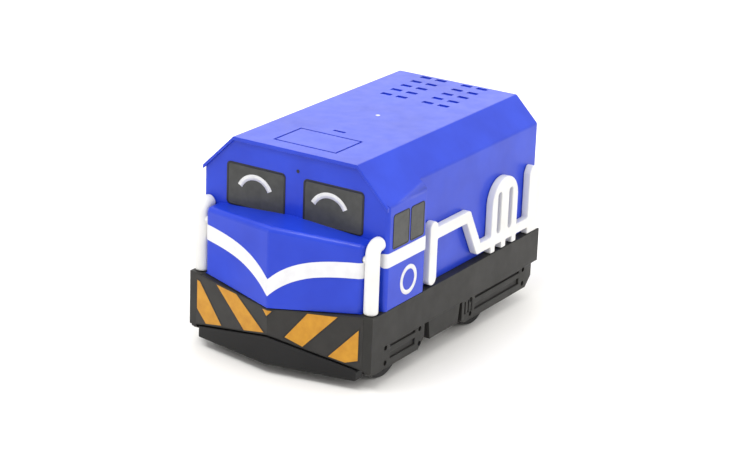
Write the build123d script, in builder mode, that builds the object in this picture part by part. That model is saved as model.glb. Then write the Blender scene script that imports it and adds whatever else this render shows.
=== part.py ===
"""Toy train locomotive with a pull-back motor, about 54 mm long.

Frame: millimetres, +Z up, the locomotive's front faces -Y, its left side is +X.
Origin: centre of the overall box in plan, on the surface that the wheels stand on.
"""
import os
from math import acos, atan2, cos, degrees, hypot, pi, radians, sin, sqrt, tan

from build123d import *

os.makedirs("parts", exist_ok=True)

# ---------------------------------------------------------------- driving sizes
# Overall body
BODY_WIDTH = 30.0          # across the cab and the chassis
BODY_LENGTH = 42.7         # windscreen to the rear end
ROOF_Z = 30.3              # roof above the rail surface
DECK_Z = 10.6              # chassis deck, where the shell sits
ROOF_CHAMFER = 5.0         # 45 degree chamfer of the cab's roof
CAB_LENGTH = 9.8
HOOD_STEP = 1.3            # hood side stands this far in from the cab side
WALL = 1.2                 # shell wall

# Nose and prow, both V-shaped in plan
NOSE_REACH = 5.95          # centre ridge ahead of the windscreen
NOSE_SIDE_REACH = 2.5
NOSE_STEP = 2.2            # nose side stands this far in from the cab side
NOSE_EDGE_Z = 20.25        # top of the nose at its sides
NOSE_RIDGE_Z = 21.0        # top of the nose along its centre
NOSE_DIP_Z = 9.45          # lower tip of the lip that sits in the prow
LIP_T = 0.8
LIP_GAP = 0.1
PROW_REACH = 5.8
PROW_SIDE_REACH = 3.0
BRIM = 0.35                # roof edge ahead of the windscreen
BRIM_DROP = 0.55

# Chassis
DECK_T = 1.6
SKIRT_T = 1.2
SILL_Z = 5.6               # lower edge of the plain sill
FRAME_Z = 2.0              # lower edge of the bogie side frames
FRAME_STEP = 0.35          # side frames stand this far in from the sill
RELIEF = 0.3               # depth of the side frames' relief
APRON_T = 1.4
APRON_Z_MID = 5.5
APRON_Z_END = 2.7

# Snow plow
PLOW_REACH = 6.1
PLOW_HALF_W = 13.0
PLOW_Z = 1.4
PLOW_T = 1.9
PLOW_GAP = 0.12

# Wheels and axles
WHEEL_R = 4.2
WHEEL_T = 3.0
AXLE_R = 0.9
FRONT_AXLE_SETBACK = 2.9   # behind the windscreen
REAR_AXLE_SETBACK = 15.5   # ahead of the rear end
TYRE_T = 0.8
WHEEL_SIDE_GAP = 0.5
HUB_R = 1.9
HUB_T = 0.7

# Clearances
RUN_GAP = 0.05             # radial, shaft in bearing
PRESS_GAP = 0.005          # radial, pressed or glued
SCREW_GAP = 0.02           # radial, thread in its pilot hole
PART_GAP = 0.3             # between pieces that move past each other
SEAT_GAP = 0.05            # between fixed pieces that lie side by side

# Pull-back motor
MODULE = 0.4
PINION_TEETH = 10
IDLER_TEETH = 24
DRUM_TEETH = 30
PRESSURE_ANGLE = radians(25)
ADDENDUM = 0.32
DEDENDUM = 0.46
BACKLASH = 0.12
MOTOR_WIDTH = 14.0
CASE_WALL = 0.8
IDLER_ANGLE = radians(145.4)   # from the axle to the idler, from +Y towards +Z
DRUM_ANGLE = radians(60.0)     # from the idler to the spring drum
IDLER_SHAFT_R = 0.6
ARBOR_R = 1.0
SPRING_T = 0.15
SPRING_TURNS = 6

# Coupler
COUPLER_REACH = 5.5        # behind the rear end
COUPLER_SETBACK = 4.2      # pivot ahead of the rear end
COUPLER_T = 1.2
COUPLER_Z = 6.2
EYE_R = 1.1
EYE_RING = 0.9
PIN_R = 1.0

# Handrails
RAIL_T = 1.15
PEG_R = 0.6
POST_R = 1.0

# ---------------------------------------------------------------- worked-out places
OVERALL_LENGTH = PLOW_REACH + BODY_LENGTH + COUPLER_REACH
CAB_FRONT_Y = PLOW_REACH - OVERALL_LENGTH / 2
REAR_Y = CAB_FRONT_Y + BODY_LENGTH
CAB_REAR_Y = CAB_FRONT_Y + CAB_LENGTH
HALF_W = BODY_WIDTH / 2
HOOD_HALF = HALF_W - HOOD_STEP
NOSE_HALF = HALF_W - NOSE_STEP
ROOF_HALF = HALF_W - ROOF_CHAMFER

WHEEL_OUT_X = HALF_W - SKIRT_T - WHEEL_SIDE_GAP
WHEEL_IN_X = WHEEL_OUT_X - WHEEL_T
HUB_IN_X = WHEEL_IN_X - HUB_T
FRONT_AXLE_Y = CAB_FRONT_Y + FRONT_AXLE_SETBACK
REAR_AXLE_Y = REAR_Y - REAR_AXLE_SETBACK
AXLE_Z = WHEEL_R

IDLER_REACH = MODULE * (PINION_TEETH + IDLER_TEETH) / 2
DRUM_REACH = MODULE * (PINION_TEETH + DRUM_TEETH) / 2
IDLER_Y = REAR_AXLE_Y + IDLER_REACH * cos(IDLER_ANGLE)
IDLER_Z = AXLE_Z + IDLER_REACH * sin(IDLER_ANGLE)
DRUM_Y = IDLER_Y + DRUM_REACH * cos(DRUM_ANGLE)
DRUM_Z = IDLER_Z + DRUM_REACH * sin(DRUM_ANGLE)
MOTOR_HALF = MOTOR_WIDTH / 2
CASE_INNER = MOTOR_HALF - CASE_WALL


def tip_radius(teeth):
    """Outer radius of a gear."""
    return MODULE * teeth / 2 + ADDENDUM


def body_section(half_width, inset=0.0, bottom=DECK_Z):
    """Corners of the shell's cross-section in X and Z, moved inwards by inset."""
    lean = inset * (sqrt(2) - 1)
    side = half_width - inset
    roof = ROOF_HALF - lean
    top = ROOF_Z - inset
    shoulder = top - (side - roof)
    return [(-side, bottom), (-side, shoulder), (-roof, top),
            (roof, top), (side, shoulder), (side, bottom)]


def vee_plan(half_width, side_reach, mid_reach, back, inset=0.0):
    """Corners of a V-fronted plan outline, moved inwards by inset; back is a Y value."""
    slope = (mid_reach - side_reach) / half_width
    shift = inset * hypot(1, slope)
    side = half_width - inset
    side_y = CAB_FRONT_Y - side_reach + shift - slope * inset
    mid_y = CAB_FRONT_Y - mid_reach + shift
    return [(-side, back), (-side, side_y), (0, mid_y), (side, side_y), (side, back)]


def save(part, name):
    """Label a finished piece and write its STEP file."""
    part.label = name
    export_step(part, f"parts/{name}.step")


def nose_lip(gap, front):
    """Lip under the nose, lowest at the middle; as a socket it gets a gap and opens to the front."""
    with BuildPart() as lip:
        with BuildSketch(Plane.XY.offset(NOSE_DIP_Z - gap)):
            Polygon(*vee_plan(NOSE_HALF, NOSE_SIDE_REACH + front, NOSE_REACH + front, CAB_FRONT_Y),
                    align=None)
            Polygon(*vee_plan(NOSE_HALF, NOSE_SIDE_REACH, NOSE_REACH, CAB_FRONT_Y + 1, LIP_T + gap),
                    align=None, mode=Mode.SUBTRACT)
        extrude(amount=DECK_Z - NOSE_DIP_Z + gap)
        with BuildSketch(Plane.XZ):
            Polygon(
                (-NOSE_HALF, DECK_Z + 1), (-NOSE_HALF, DECK_Z - gap), (0, NOSE_DIP_Z - gap),
                (NOSE_HALF, DECK_Z - gap), (NOSE_HALF, DECK_Z + 1),
                align=None,
            )
        extrude(amount=OVERALL_LENGTH, both=True, mode=Mode.INTERSECT)
    return lip.part


# ---------------------------------------------------------------- body shell
BOSS_R = 2.2
SCREW_R = 0.95
SCREW_TOP_Z = 16.5
SCREW_SEAT_Z = 8.0
SCREW_HEAD_R = 1.7
SCREW_HEAD_T = 1.1
FRONT_BOSS_SETBACK = -0.3
REAR_BOSS_SETBACK = 3.4
REAR_BOSS_INSET = 4.0      # from the hood side

screw_places = [
    (0, CAB_FRONT_Y + FRONT_BOSS_SETBACK),
    (HOOD_HALF - REAR_BOSS_INSET, REAR_Y - REAR_BOSS_SETBACK),
    (-(HOOD_HALF - REAR_BOSS_INSET), REAR_Y - REAR_BOSS_SETBACK),
]

nose_skirt = nose_lip(0, 0)
nose_socket = nose_lip(LIP_GAP, PROW_REACH)

# Where the handrails' pegs enter the shell: distance behind the windscreen, height
rail_pegs = [
    (12.3, 18.1),
    (32.05, 20.3),
    (40.6, 15.4),
]
GRAB_PEG_Z = 18.2
GRAB_PEG_SETBACK = -1.75

with BuildPart() as body_shell:
    # Nose: V plan, top sloping up to the windscreen, rounded front edges
    with BuildSketch(Plane.XY.offset(DECK_Z)):
        Polygon(*vee_plan(NOSE_HALF, NOSE_SIDE_REACH, NOSE_REACH, CAB_FRONT_Y + WALL), align=None)
    extrude(amount=NOSE_RIDGE_Z - DECK_Z)
    with BuildSketch(Plane.XZ):
        Polygon(
            (-NOSE_HALF, NOSE_EDGE_Z), (0, NOSE_RIDGE_Z), (NOSE_HALF, NOSE_EDGE_Z),
            (NOSE_HALF, NOSE_RIDGE_Z + 1), (-NOSE_HALF, NOSE_RIDGE_Z + 1),
            align=None,
        )
    extrude(amount=OVERALL_LENGTH, both=True, mode=Mode.SUBTRACT)
    nose_sides = body_shell.edges().filter_by(Axis.Z).sort_by(Axis.Y)[1:3]
    fillet(nose_sides, radius=0.9)
    nose_top = body_shell.faces().sort_by(Axis.Z)[-2:].edges().filter_by(
        lambda e: e.center().Y < CAB_FRONT_Y - NOSE_SIDE_REACH * 0.8 and abs(e.center().X) > 0.1)
    fillet(nose_top, radius=0.8)

    # Cab, with rounded front corners
    with BuildSketch(Plane.XZ.offset(-CAB_FRONT_Y)):
        Polygon(*body_section(HALF_W), align=None)
    extrude(amount=-CAB_LENGTH)
    corners = body_shell.edges().filter_by(Axis.Z).filter_by(
        lambda e: abs(e.center().X) > HALF_W - 0.01 and e.center().Y < CAB_FRONT_Y + 0.01)
    fillet(corners, radius=0.6)

    # Hood behind the cab
    with BuildSketch(Plane.XZ.offset(-CAB_FRONT_Y - WALL)):
        Polygon(*body_section(HOOD_HALF), align=None)
    extrude(amount=-(BODY_LENGTH - WALL))

    # Brim: the roof's edge stands a little ahead of the windscreen
    with BuildSketch(Plane.XZ.offset(-CAB_FRONT_Y)):
        Polygon(*body_section(HALF_W, bottom=ROOF_Z - ROOF_CHAMFER - BRIM_DROP), align=None)
        with Locations((0, -BRIM_DROP)):
            Polygon(*body_section(HALF_W + BRIM, bottom=ROOF_Z - ROOF_CHAMFER - 2), align=None,
                    mode=Mode.SUBTRACT)
    extrude(amount=BRIM)

    # Inside: nose, cab and hood are one open space
    with BuildSketch(Plane.XY.offset(DECK_Z)):
        Polygon(*vee_plan(NOSE_HALF, NOSE_SIDE_REACH, NOSE_REACH, CAB_FRONT_Y + 2 * WALL, WALL),
                align=None)
    extrude(amount=NOSE_EDGE_Z - WALL - DECK_Z, mode=Mode.SUBTRACT)
    with BuildSketch(Plane.XZ.offset(-CAB_FRONT_Y - WALL)):
        Polygon(*body_section(HALF_W, WALL), align=None)
    extrude(amount=-(CAB_LENGTH - 2 * WALL), mode=Mode.SUBTRACT)
    with BuildSketch(Plane.XZ.offset(-CAB_FRONT_Y - WALL)):
        Polygon(*body_section(HOOD_HALF, WALL), align=None)
    extrude(amount=-(BODY_LENGTH - 2 * WALL), mode=Mode.SUBTRACT)

    add(nose_skirt)

    # Screw bosses with blind pilot holes, ribbed to the walls
    with BuildSketch(Plane.XY.offset(DECK_Z)):
        with Locations(screw_places[0]):
            Circle(BOSS_R)
    extrude(amount=NOSE_EDGE_Z - WALL / 2 - DECK_Z)
    with BuildSketch(Plane.XY.offset(DECK_Z)):
        for x, y in screw_places[1:]:
            with Locations((x, y)):
                Circle(BOSS_R)
            wall_x = (HOOD_HALF - WALL / 2) * (1 if x > 0 else -1)
            with Locations(((x + wall_x) / 2, y)):
                Rectangle(abs(wall_x - x), WALL)
            with Locations((x, (y + REAR_Y - WALL / 2) / 2)):
                Rectangle(WALL, REAR_Y - WALL / 2 - y)
    extrude(amount=SCREW_TOP_Z + 1.5 - DECK_Z)
    with BuildSketch(Plane.XY.offset(DECK_Z)):
        with Locations(*screw_places):
            Circle(SCREW_R + SCREW_GAP)
    extrude(amount=SCREW_TOP_Z + 0.3 - DECK_Z, mode=Mode.SUBTRACT)

    # Peg holes for the handrails and the grab rails
    with BuildSketch(Plane.YZ.offset(-HALF_W)):
        for setback, z in rail_pegs:
            with Locations((CAB_FRONT_Y + setback, z)):
                Circle(PEG_R + SEAT_GAP)
        with Locations((CAB_FRONT_Y + GRAB_PEG_SETBACK, GRAB_PEG_Z)):
            Circle(PEG_R + SEAT_GAP)
    extrude(amount=BODY_WIDTH, mode=Mode.SUBTRACT)

    # Roof: hatch outline, maker's dash and two banks of louvre recesses
    HATCH_DEPTH = 0.25
    HATCH_LINE = 0.28
    with BuildSketch(Plane.XY.offset(ROOF_Z)):
        with Locations((0, CAB_FRONT_Y + 5.45)):
            Rectangle(10.2, 6.7)
            Rectangle(10.2 - 2 * HATCH_LINE, 6.7 - 2 * HATCH_LINE, mode=Mode.SUBTRACT)
        with Locations((0, CAB_FRONT_Y + 10.7)):
            Rectangle(1.9, 0.5)
    extrude(amount=-HATCH_DEPTH, mode=Mode.SUBTRACT)
    LOUVRE_PITCH = 2.75
    LOUVRE_ROWS = 5
    with BuildSketch(Plane.XY.offset(ROOF_Z)):
        for x in (-4.8, -2.2, 2.2, 4.8):
            for row in range(LOUVRE_ROWS):
                with Locations((x, REAR_Y - 1.3 - row * LOUVRE_PITCH)):
                    Rectangle(1.7, 0.9)
    extrude(amount=-0.6, mode=Mode.SUBTRACT)

save(body_shell.part, "body_shell")


# ---------------------------------------------------------------- chassis frame
CUTOUT_GAP = 0.3
CASE_A_R = tip_radius(PINION_TEETH) + CASE_WALL + 0.1
CASE_B_R = tip_radius(IDLER_TEETH) + CASE_WALL + 0.2
CASE_C_R = tip_radius(DRUM_TEETH) + CASE_WALL + 0.2
CASE_FRONT_Y = IDLER_Y - CASE_B_R
CASE_REAR_Y = DRUM_Y + CASE_C_R
EAR_LENGTH = 3.8
EAR_T = 1.2
EAR_SCREW_X = 3.5
MOTOR_SCREW_R = 0.7
MOTOR_SCREW_BOSS_R = 1.7
MOTOR_SCREW_END_Z = 6.6
motor_screw_places = [
    (EAR_SCREW_X, CASE_FRONT_Y - EAR_LENGTH / 2 - 0.2),
    (-EAR_SCREW_X, CASE_REAR_Y + EAR_LENGTH / 2 + 0.2),
]
HANGER_X = HUB_IN_X - PART_GAP
HANGER_T = 1.6
HANGER_HALF = 2.1
HANGER_Z = 2.6
COUPLER_PIVOT_Y = REAR_Y - COUPLER_SETBACK
COUPLER_BOSS_R = 2.2
COUPLER_SLOT_HALF = 4.4
TANK_INSET = 4.0
front_frame_ends = (CAB_FRONT_Y - PROW_SIDE_REACH, FRONT_AXLE_Y + 8.3)
rear_frame_ends = (REAR_AXLE_Y - 5.8, REAR_Y - 1.2)
tank_ends = (front_frame_ends[1] + 1.0, rear_frame_ends[0] - 0.6)
TONGUE_HALF = 3.0
TONGUE_T = 1.0
TONGUE_Y = CAB_FRONT_Y - 3.7
DECK_MID_Z = DECK_Z - DECK_T / 2
BOSS_END_Z = SCREW_SEAT_Z - SCREW_HEAD_T - 0.3

with BuildPart() as chassis_frame:
    # Deck with a V-shaped prow, and a skirt all round it
    with BuildSketch(Plane.XY.offset(SILL_Z)):
        Polygon(*vee_plan(HALF_W, PROW_SIDE_REACH, PROW_REACH, REAR_Y), align=None)
    extrude(amount=DECK_Z - SILL_Z)
    with BuildSketch(Plane.XY.offset(SILL_Z)):
        Polygon(*vee_plan(HALF_W, PROW_SIDE_REACH, PROW_REACH, REAR_Y - SKIRT_T, SKIRT_T), align=None)
    extrude(amount=DECK_Z - DECK_T - SILL_Z, mode=Mode.SUBTRACT)

    # Front apron below the prow, its lower edge rising to the middle
    with BuildSketch(Plane.XY.offset(APRON_Z_END)):
        Polygon(*vee_plan(HALF_W, PROW_SIDE_REACH, PROW_REACH, CAB_FRONT_Y), align=None)
        Polygon(*vee_plan(HALF_W, PROW_SIDE_REACH, PROW_REACH, CAB_FRONT_Y + 1, APRON_T), align=None,
                mode=Mode.SUBTRACT)
    extrude(amount=SILL_Z - APRON_Z_END)
    with BuildSketch(Plane.XZ):
        Polygon((-HALF_W, APRON_Z_END), (0, APRON_Z_MID), (HALF_W, APRON_Z_END), align=None)
    extrude(amount=OVERALL_LENGTH, both=True, mode=Mode.SUBTRACT)

    add(nose_socket, mode=Mode.SUBTRACT)

    # Bogie side frames and the tanks between them
    for side in (1, -1):
        face = side * (HALF_W - FRAME_STEP)
        with BuildSketch(Plane.YZ.offset(face)):
            for front, rear in (front_frame_ends, rear_frame_ends):
                Polygon(
                    (front, SILL_Z), (front, FRAME_Z + 0.5), (front + 0.7, FRAME_Z),
                    (rear - 1.6, FRAME_Z), (rear, FRAME_Z + 1.5), (rear, SILL_Z),
                    align=None,
                )
        extrude(amount=-side * (SKIRT_T - FRAME_STEP))
        with BuildSketch(Plane.YZ.offset(face)):
            Polygon(
                (tank_ends[0], SILL_Z), (tank_ends[0] + 0.5, FRAME_Z + 0.6),
                (tank_ends[1] - 0.5, FRAME_Z + 0.6), (tank_ends[1], SILL_Z),
                align=None,
            )
        extrude(amount=-side * TANK_INSET)

        # Relief: sunk panels leave the equaliser beam and axle boxes standing
        with BuildSketch(Plane.YZ.offset(face)):
            for centre, reach in ((FRONT_AXLE_Y + 2.6, 4.4), (REAR_AXLE_Y + 4.2, 7.6)):
                for z, height in ((SILL_Z - 0.55, 0.35), (FRAME_Z + 1.6, 0.9)):
                    with Locations((centre, z)):
                        Rectangle(2 * reach - 2.4, height)
                for end in (-1, 1):
                    for z in (SILL_Z - 0.5, FRAME_Z + 0.9):
                        with Locations((centre + end * reach, z)):
                            Circle(0.38)
            for step in range(3):
                with Locations((rear_frame_ends[0] + 0.9 + step * 0.9, FRAME_Z + 2.2)):
                    Rectangle(0.35, 1.9)
        extrude(amount=-side * RELIEF, mode=Mode.SUBTRACT)

    # Opening for the motor
    with BuildSketch(Plane.XY.offset(DECK_Z - DECK_T)):
        with Locations((0, (CASE_FRONT_Y + CASE_REAR_Y) / 2)):
            Rectangle(MOTOR_WIDTH + 2 * CUTOUT_GAP, CASE_REAR_Y - CASE_FRONT_Y + 2 * CUTOUT_GAP)
    extrude(amount=DECK_T, mode=Mode.SUBTRACT)

    # Locating ribs inside the hood's walls
    RIB_H = 1.0
    RIB_T = 0.8
    with BuildSketch(Plane.XY.offset(DECK_Z)):
        for side in (1, -1):
            with Locations((side * (HOOD_HALF - WALL - 0.1 - RIB_T / 2), (CAB_REAR_Y + REAR_Y) / 2 - 1)):
                Rectangle(RIB_T, REAR_Y - CAB_REAR_Y - 12)
    extrude(amount=RIB_H)

    # Hangers for the front axle: snap slots open at the bottom
    for side in (1, -1):
        with BuildSketch(Plane.YZ.offset(side * HANGER_X)):
            with Locations((FRONT_AXLE_Y, (HANGER_Z + DECK_Z - DECK_T) / 2)):
                Rectangle(2 * HANGER_HALF, DECK_Z - DECK_T - HANGER_Z)
            with Locations((FRONT_AXLE_Y, AXLE_Z)):
                Circle(AXLE_R + RUN_GAP, mode=Mode.SUBTRACT)
            Polygon(
                (FRONT_AXLE_Y - AXLE_R * 0.8, AXLE_Z), (FRONT_AXLE_Y - AXLE_R * 1.1, HANGER_Z),
                (FRONT_AXLE_Y + AXLE_R * 1.1, HANGER_Z), (FRONT_AXLE_Y + AXLE_R * 0.8, AXLE_Z),
                align=None, mode=Mode.SUBTRACT,
            )
        extrude(amount=-side * HANGER_T)

    # Bosses under the deck, then their holes
    with BuildSketch(Plane.XY.offset(BOSS_END_Z)):
        with Locations(*screw_places):
            Circle(BOSS_R + 0.2)
    extrude(amount=DECK_MID_Z - BOSS_END_Z)
    with BuildSketch(Plane.XY.offset(MOTOR_SCREW_END_Z - 0.4)):
        with Locations(*motor_screw_places):
            Circle(MOTOR_SCREW_BOSS_R)
    extrude(amount=DECK_MID_Z - MOTOR_SCREW_END_Z + 0.4)
    with BuildSketch(Plane.XY.offset(COUPLER_Z + COUPLER_T + 0.1)):
        with Locations((0, COUPLER_PIVOT_Y)):
            Circle(COUPLER_BOSS_R)
    extrude(amount=DECK_MID_Z - COUPLER_Z - COUPLER_T - 0.1)
    with BuildSketch(Plane.XY.offset(DECK_Z)):
        with Locations(*screw_places):
            Circle(SCREW_R + 0.2)
    extrude(amount=-DECK_Z, mode=Mode.SUBTRACT)
    with BuildSketch(Plane.XY.offset(SCREW_SEAT_Z)):
        with Locations(*screw_places):
            Circle(SCREW_HEAD_R + 0.15)
    extrude(amount=-SCREW_SEAT_Z, mode=Mode.SUBTRACT)
    with BuildSketch(Plane.XY.offset(DECK_Z)):
        with Locations(*motor_screw_places):
            Circle(MOTOR_SCREW_R + SCREW_GAP)
    extrude(amount=-(DECK_Z - MOTOR_SCREW_END_Z + 0.1), mode=Mode.SUBTRACT)
    with BuildSketch(Plane.XY.offset(DECK_Z)):
        with Locations((0, COUPLER_PIVOT_Y)):
            Circle(PIN_R + PRESS_GAP)
    extrude(amount=-DECK_Z, mode=Mode.SUBTRACT)

    # Rear skirt slot that the coupler swings in
    with BuildSketch(Plane.XY.offset(SILL_Z)):
        with Locations((0, REAR_Y - SKIRT_T / 2)):
            Rectangle(2 * COUPLER_SLOT_HALF, SKIRT_T)
    extrude(amount=DECK_Z - DECK_T - SILL_Z, mode=Mode.SUBTRACT)

    # Slot in the deck for the plow's tongue
    with BuildSketch(Plane.XY.offset(DECK_Z - DECK_T)):
        with Locations((0, TONGUE_Y + TONGUE_T / 2)):
            Rectangle(2 * (TONGUE_HALF + SEAT_GAP), TONGUE_T + 2 * SEAT_GAP)
    extrude(amount=DECK_T, mode=Mode.SUBTRACT)

save(chassis_frame.part, "chassis_frame")


# ---------------------------------------------------------------- snow plow
with BuildPart() as snow_plow:
    with BuildSketch(Plane.XZ):
        slope = (APRON_Z_MID - APRON_Z_END) / HALF_W
        end_z = APRON_Z_MID - slope * PLOW_HALF_W - PLOW_GAP
        Polygon(
            (-PLOW_HALF_W, PLOW_Z), (-PLOW_HALF_W, end_z), (0, APRON_Z_MID - PLOW_GAP),
            (PLOW_HALF_W, end_z), (PLOW_HALF_W, PLOW_Z),
            align=None,
        )
    extrude(amount=OVERALL_LENGTH, both=True)
    with BuildSketch(Plane.XY.offset(PLOW_Z)):
        prow_slope = (PROW_REACH - PROW_SIDE_REACH) / HALF_W
        side_reach = PLOW_REACH - prow_slope * PLOW_HALF_W
        Polygon(
            (0, CAB_FRONT_Y - PLOW_REACH), (PLOW_HALF_W, CAB_FRONT_Y - side_reach),
            (PLOW_HALF_W, CAB_FRONT_Y - side_reach + PLOW_T),
            (0, CAB_FRONT_Y - PLOW_REACH + PLOW_T),
            (-PLOW_HALF_W, CAB_FRONT_Y - side_reach + PLOW_T), (-PLOW_HALF_W, CAB_FRONT_Y - side_reach),
            align=None,
        )
    extrude(amount=APRON_Z_MID, mode=Mode.INTERSECT)
    # Tongue that snaps up through the deck, with a web back to it
    with BuildSketch(Plane.XY.offset(PLOW_Z)):
        with Locations((0, (CAB_FRONT_Y - PLOW_REACH + PLOW_T / 2 + TONGUE_Y + TONGUE_T) / 2)):
            Rectangle(2 * TONGUE_HALF, TONGUE_Y + TONGUE_T - (CAB_FRONT_Y - PLOW_REACH + PLOW_T / 2))
    extrude(amount=1.2)
    with BuildSketch(Plane.XY.offset(PLOW_Z)):
        with Locations((0, TONGUE_Y + TONGUE_T / 2)):
            Rectangle(2 * TONGUE_HALF, TONGUE_T)
    extrude(amount=DECK_Z - 0.1 - PLOW_Z)

save(snow_plow.part, "snow_plow")


# ---------------------------------------------------------------- side handrails
POST_SETBACK = 12.3        # all setbacks are behind the windscreen
KNEE_SETBACK = 21.6
HEEL_SETBACK = 24.9
LADDER_SETBACK = 32.05
PLATE_SETBACK = 39.1
UPPER_BAR_Z = 18.1
LOWER_BAR_Z = 12.4
LADDER_W = 7.3
LADDER_ARCH_Z = 17.7       # centre of the ladder's round top
SLOT_PITCH = 3.2
LEG_T = 1.2


def bar(start, end, width):
    """Add a round-ended bar between two points of the open sketch."""
    length = hypot(end[0] - start[0], end[1] - start[1])
    angle = degrees(atan2(end[1] - start[1], end[0] - start[0]))
    with Locations(((start[0] + end[0]) / 2, (start[1] + end[1]) / 2)):
        SlotCenterToCenter(length, width, rotation=angle)


def handrail(side):
    """White rail along the hood: post, upper bar, slope, ladder loop and corner plate."""
    face = HOOD_HALF + SEAT_GAP
    foot = DECK_Z + SEAT_GAP
    y = CAB_FRONT_Y
    with BuildPart() as rail:
        with BuildSketch(Plane.YZ.offset(side * face)):
            bar((y + POST_SETBACK, foot + 1.1), (y + POST_SETBACK, UPPER_BAR_Z + 0.9), 2.0)
            bar((y + POST_SETBACK, UPPER_BAR_Z), (y + KNEE_SETBACK, UPPER_BAR_Z), 1.7)
            bar((y + KNEE_SETBACK, UPPER_BAR_Z), (y + HEEL_SETBACK, LOWER_BAR_Z), 1.6)
            bar((y + HEEL_SETBACK, LOWER_BAR_Z), (y + PLATE_SETBACK + 0.4, LOWER_BAR_Z), 1.5)
            # Ladder loop: an arch with two slots in it, on three legs
            ladder_y = y + LADDER_SETBACK
            with Locations((ladder_y, (LOWER_BAR_Z + LADDER_ARCH_Z) / 2)):
                Rectangle(LADDER_W, LADDER_ARCH_Z - LOWER_BAR_Z + 0.3)
            with Locations((ladder_y, LADDER_ARCH_Z)):
                Circle(LADDER_W / 2)
            for offset in (-SLOT_PITCH / 2, SLOT_PITCH / 2):
                with Locations((ladder_y + offset, 16.3)):
                    SlotOverall(6.2, 1.1, rotation=90, mode=Mode.SUBTRACT)
            for offset in (-(LADDER_W - LEG_T) / 2, 0, (LADDER_W - LEG_T) / 2):
                with Locations((ladder_y + offset, (foot + LOWER_BAR_Z) / 2)):
                    Rectangle(LEG_T, LOWER_BAR_Z - foot)
            # Corner plate with a sloping top
            Polygon(
                (y + PLATE_SETBACK, foot), (y + PLATE_SETBACK, 19.9), (y + 39.7, 20.9), (y + 40.4, 20.9),
                (y + BODY_LENGTH - 0.5, 19.4), (y + BODY_LENGTH - 0.3, 19.0),
                (y + BODY_LENGTH - 0.3, foot),
                align=None,
            )
        extrude(amount=side * RAIL_T)
        with BuildSketch(Plane.YZ.offset(side * (face + RAIL_T / 2))):
            for setback, z in rail_pegs:
                with Locations((y + setback, z)):
                    Circle(PEG_R)
        extrude(amount=-side * (RAIL_T / 2 + SEAT_GAP + WALL + 0.3))
    return rail.part


save(handrail(1), "left_handrail")
save(handrail(-1), "right_handrail")


# ---------------------------------------------------------------- front grab rails
def grab_rail(side):
    """Round post beside the nose, bent back to the cab, with a stub into the nose side."""
    post_x = side * (NOSE_HALF + SEAT_GAP + POST_R)
    post_y = CAB_FRONT_Y + GRAB_PEG_SETBACK
    bend = 1.15
    top_z = 20.2
    with BuildPart() as rail:
        with BuildLine() as route:
            FilletPolyline(
                (post_x, post_y, DECK_Z + SEAT_GAP), (post_x, post_y, top_z),
                (post_x, CAB_FRONT_Y - SEAT_GAP, top_z),
                radius=bend,
            )
        with BuildSketch(Plane.XY.offset(DECK_Z + SEAT_GAP)):
            with Locations((post_x, post_y)):
                Circle(POST_R)
        sweep(path=route.wires()[0])
        with BuildSketch(Plane.YZ.offset(post_x)):
            with Locations((post_y, GRAB_PEG_Z)):
                Circle(PEG_R)
        extrude(amount=-side * (POST_R + SEAT_GAP + WALL))
        foot = rail.edges().filter_by(GeomType.CIRCLE).sort_by(Axis.Z)[0]
        fillet(foot, radius=0.35)
    return rail.part


save(grab_rail(1), "left_front_grab_rail")
save(grab_rail(-1), "right_front_grab_rail")


# ---------------------------------------------------------------- wheels, tyres and axles
def wheel(side, axle_y, rim_r):
    """Dished disc wheel with an inner hub, bored for the axle."""
    with BuildPart() as disc:
        with BuildSketch(Plane.YZ.offset(side * WHEEL_IN_X)):
            with Locations((axle_y, AXLE_Z)):
                Circle(rim_r)
        extrude(amount=side * WHEEL_T)
        tread = disc.edges().filter_by(GeomType.CIRCLE)
        fillet(tread, radius=0.25)
        with BuildSketch(Plane.YZ.offset(side * WHEEL_OUT_X)):
            with Locations((axle_y, AXLE_Z)):
                Circle(rim_r - 0.9)
                Circle(HUB_R - 0.3, mode=Mode.SUBTRACT)
        extrude(amount=-side * 0.6, mode=Mode.SUBTRACT)
        with BuildSketch(Plane.YZ.offset(side * HUB_IN_X)):
            with Locations((axle_y, AXLE_Z)):
                Circle(HUB_R)
        extrude(amount=side * (HUB_T + 0.2))
        with BuildSketch(Plane.YZ.offset(side * HUB_IN_X)):
            with Locations((axle_y, AXLE_Z)):
                Circle(AXLE_R + PRESS_GAP)
        extrude(amount=side * (HUB_T + WHEEL_T), mode=Mode.SUBTRACT)
    return disc.part


def tyre(side, axle_y):
    """Rubber ring over a driven wheel's rim."""
    with BuildPart() as ring:
        with BuildSketch(Plane.YZ.offset(side * (WHEEL_IN_X + 0.1))):
            with Locations((axle_y, AXLE_Z)):
                Circle(WHEEL_R)
                Circle(WHEEL_R - TYRE_T + PRESS_GAP, mode=Mode.SUBTRACT)
        extrude(amount=side * (WHEEL_T - 0.2))
        outer = ring.edges().filter_by(GeomType.CIRCLE).sort_by(SortBy.RADIUS)[-2:]
        fillet(outer, radius=0.25)
    return ring.part


def axle(axle_y):
    """Steel axle, as long as the wheels are apart over their outer faces."""
    with BuildPart() as rod:
        with BuildSketch(Plane.YZ.offset(-WHEEL_OUT_X)):
            with Locations((axle_y, AXLE_Z)):
                Circle(AXLE_R)
        extrude(amount=2 * WHEEL_OUT_X)
        chamfer(rod.edges().filter_by(GeomType.CIRCLE), length=0.15)
    return rod.part


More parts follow.
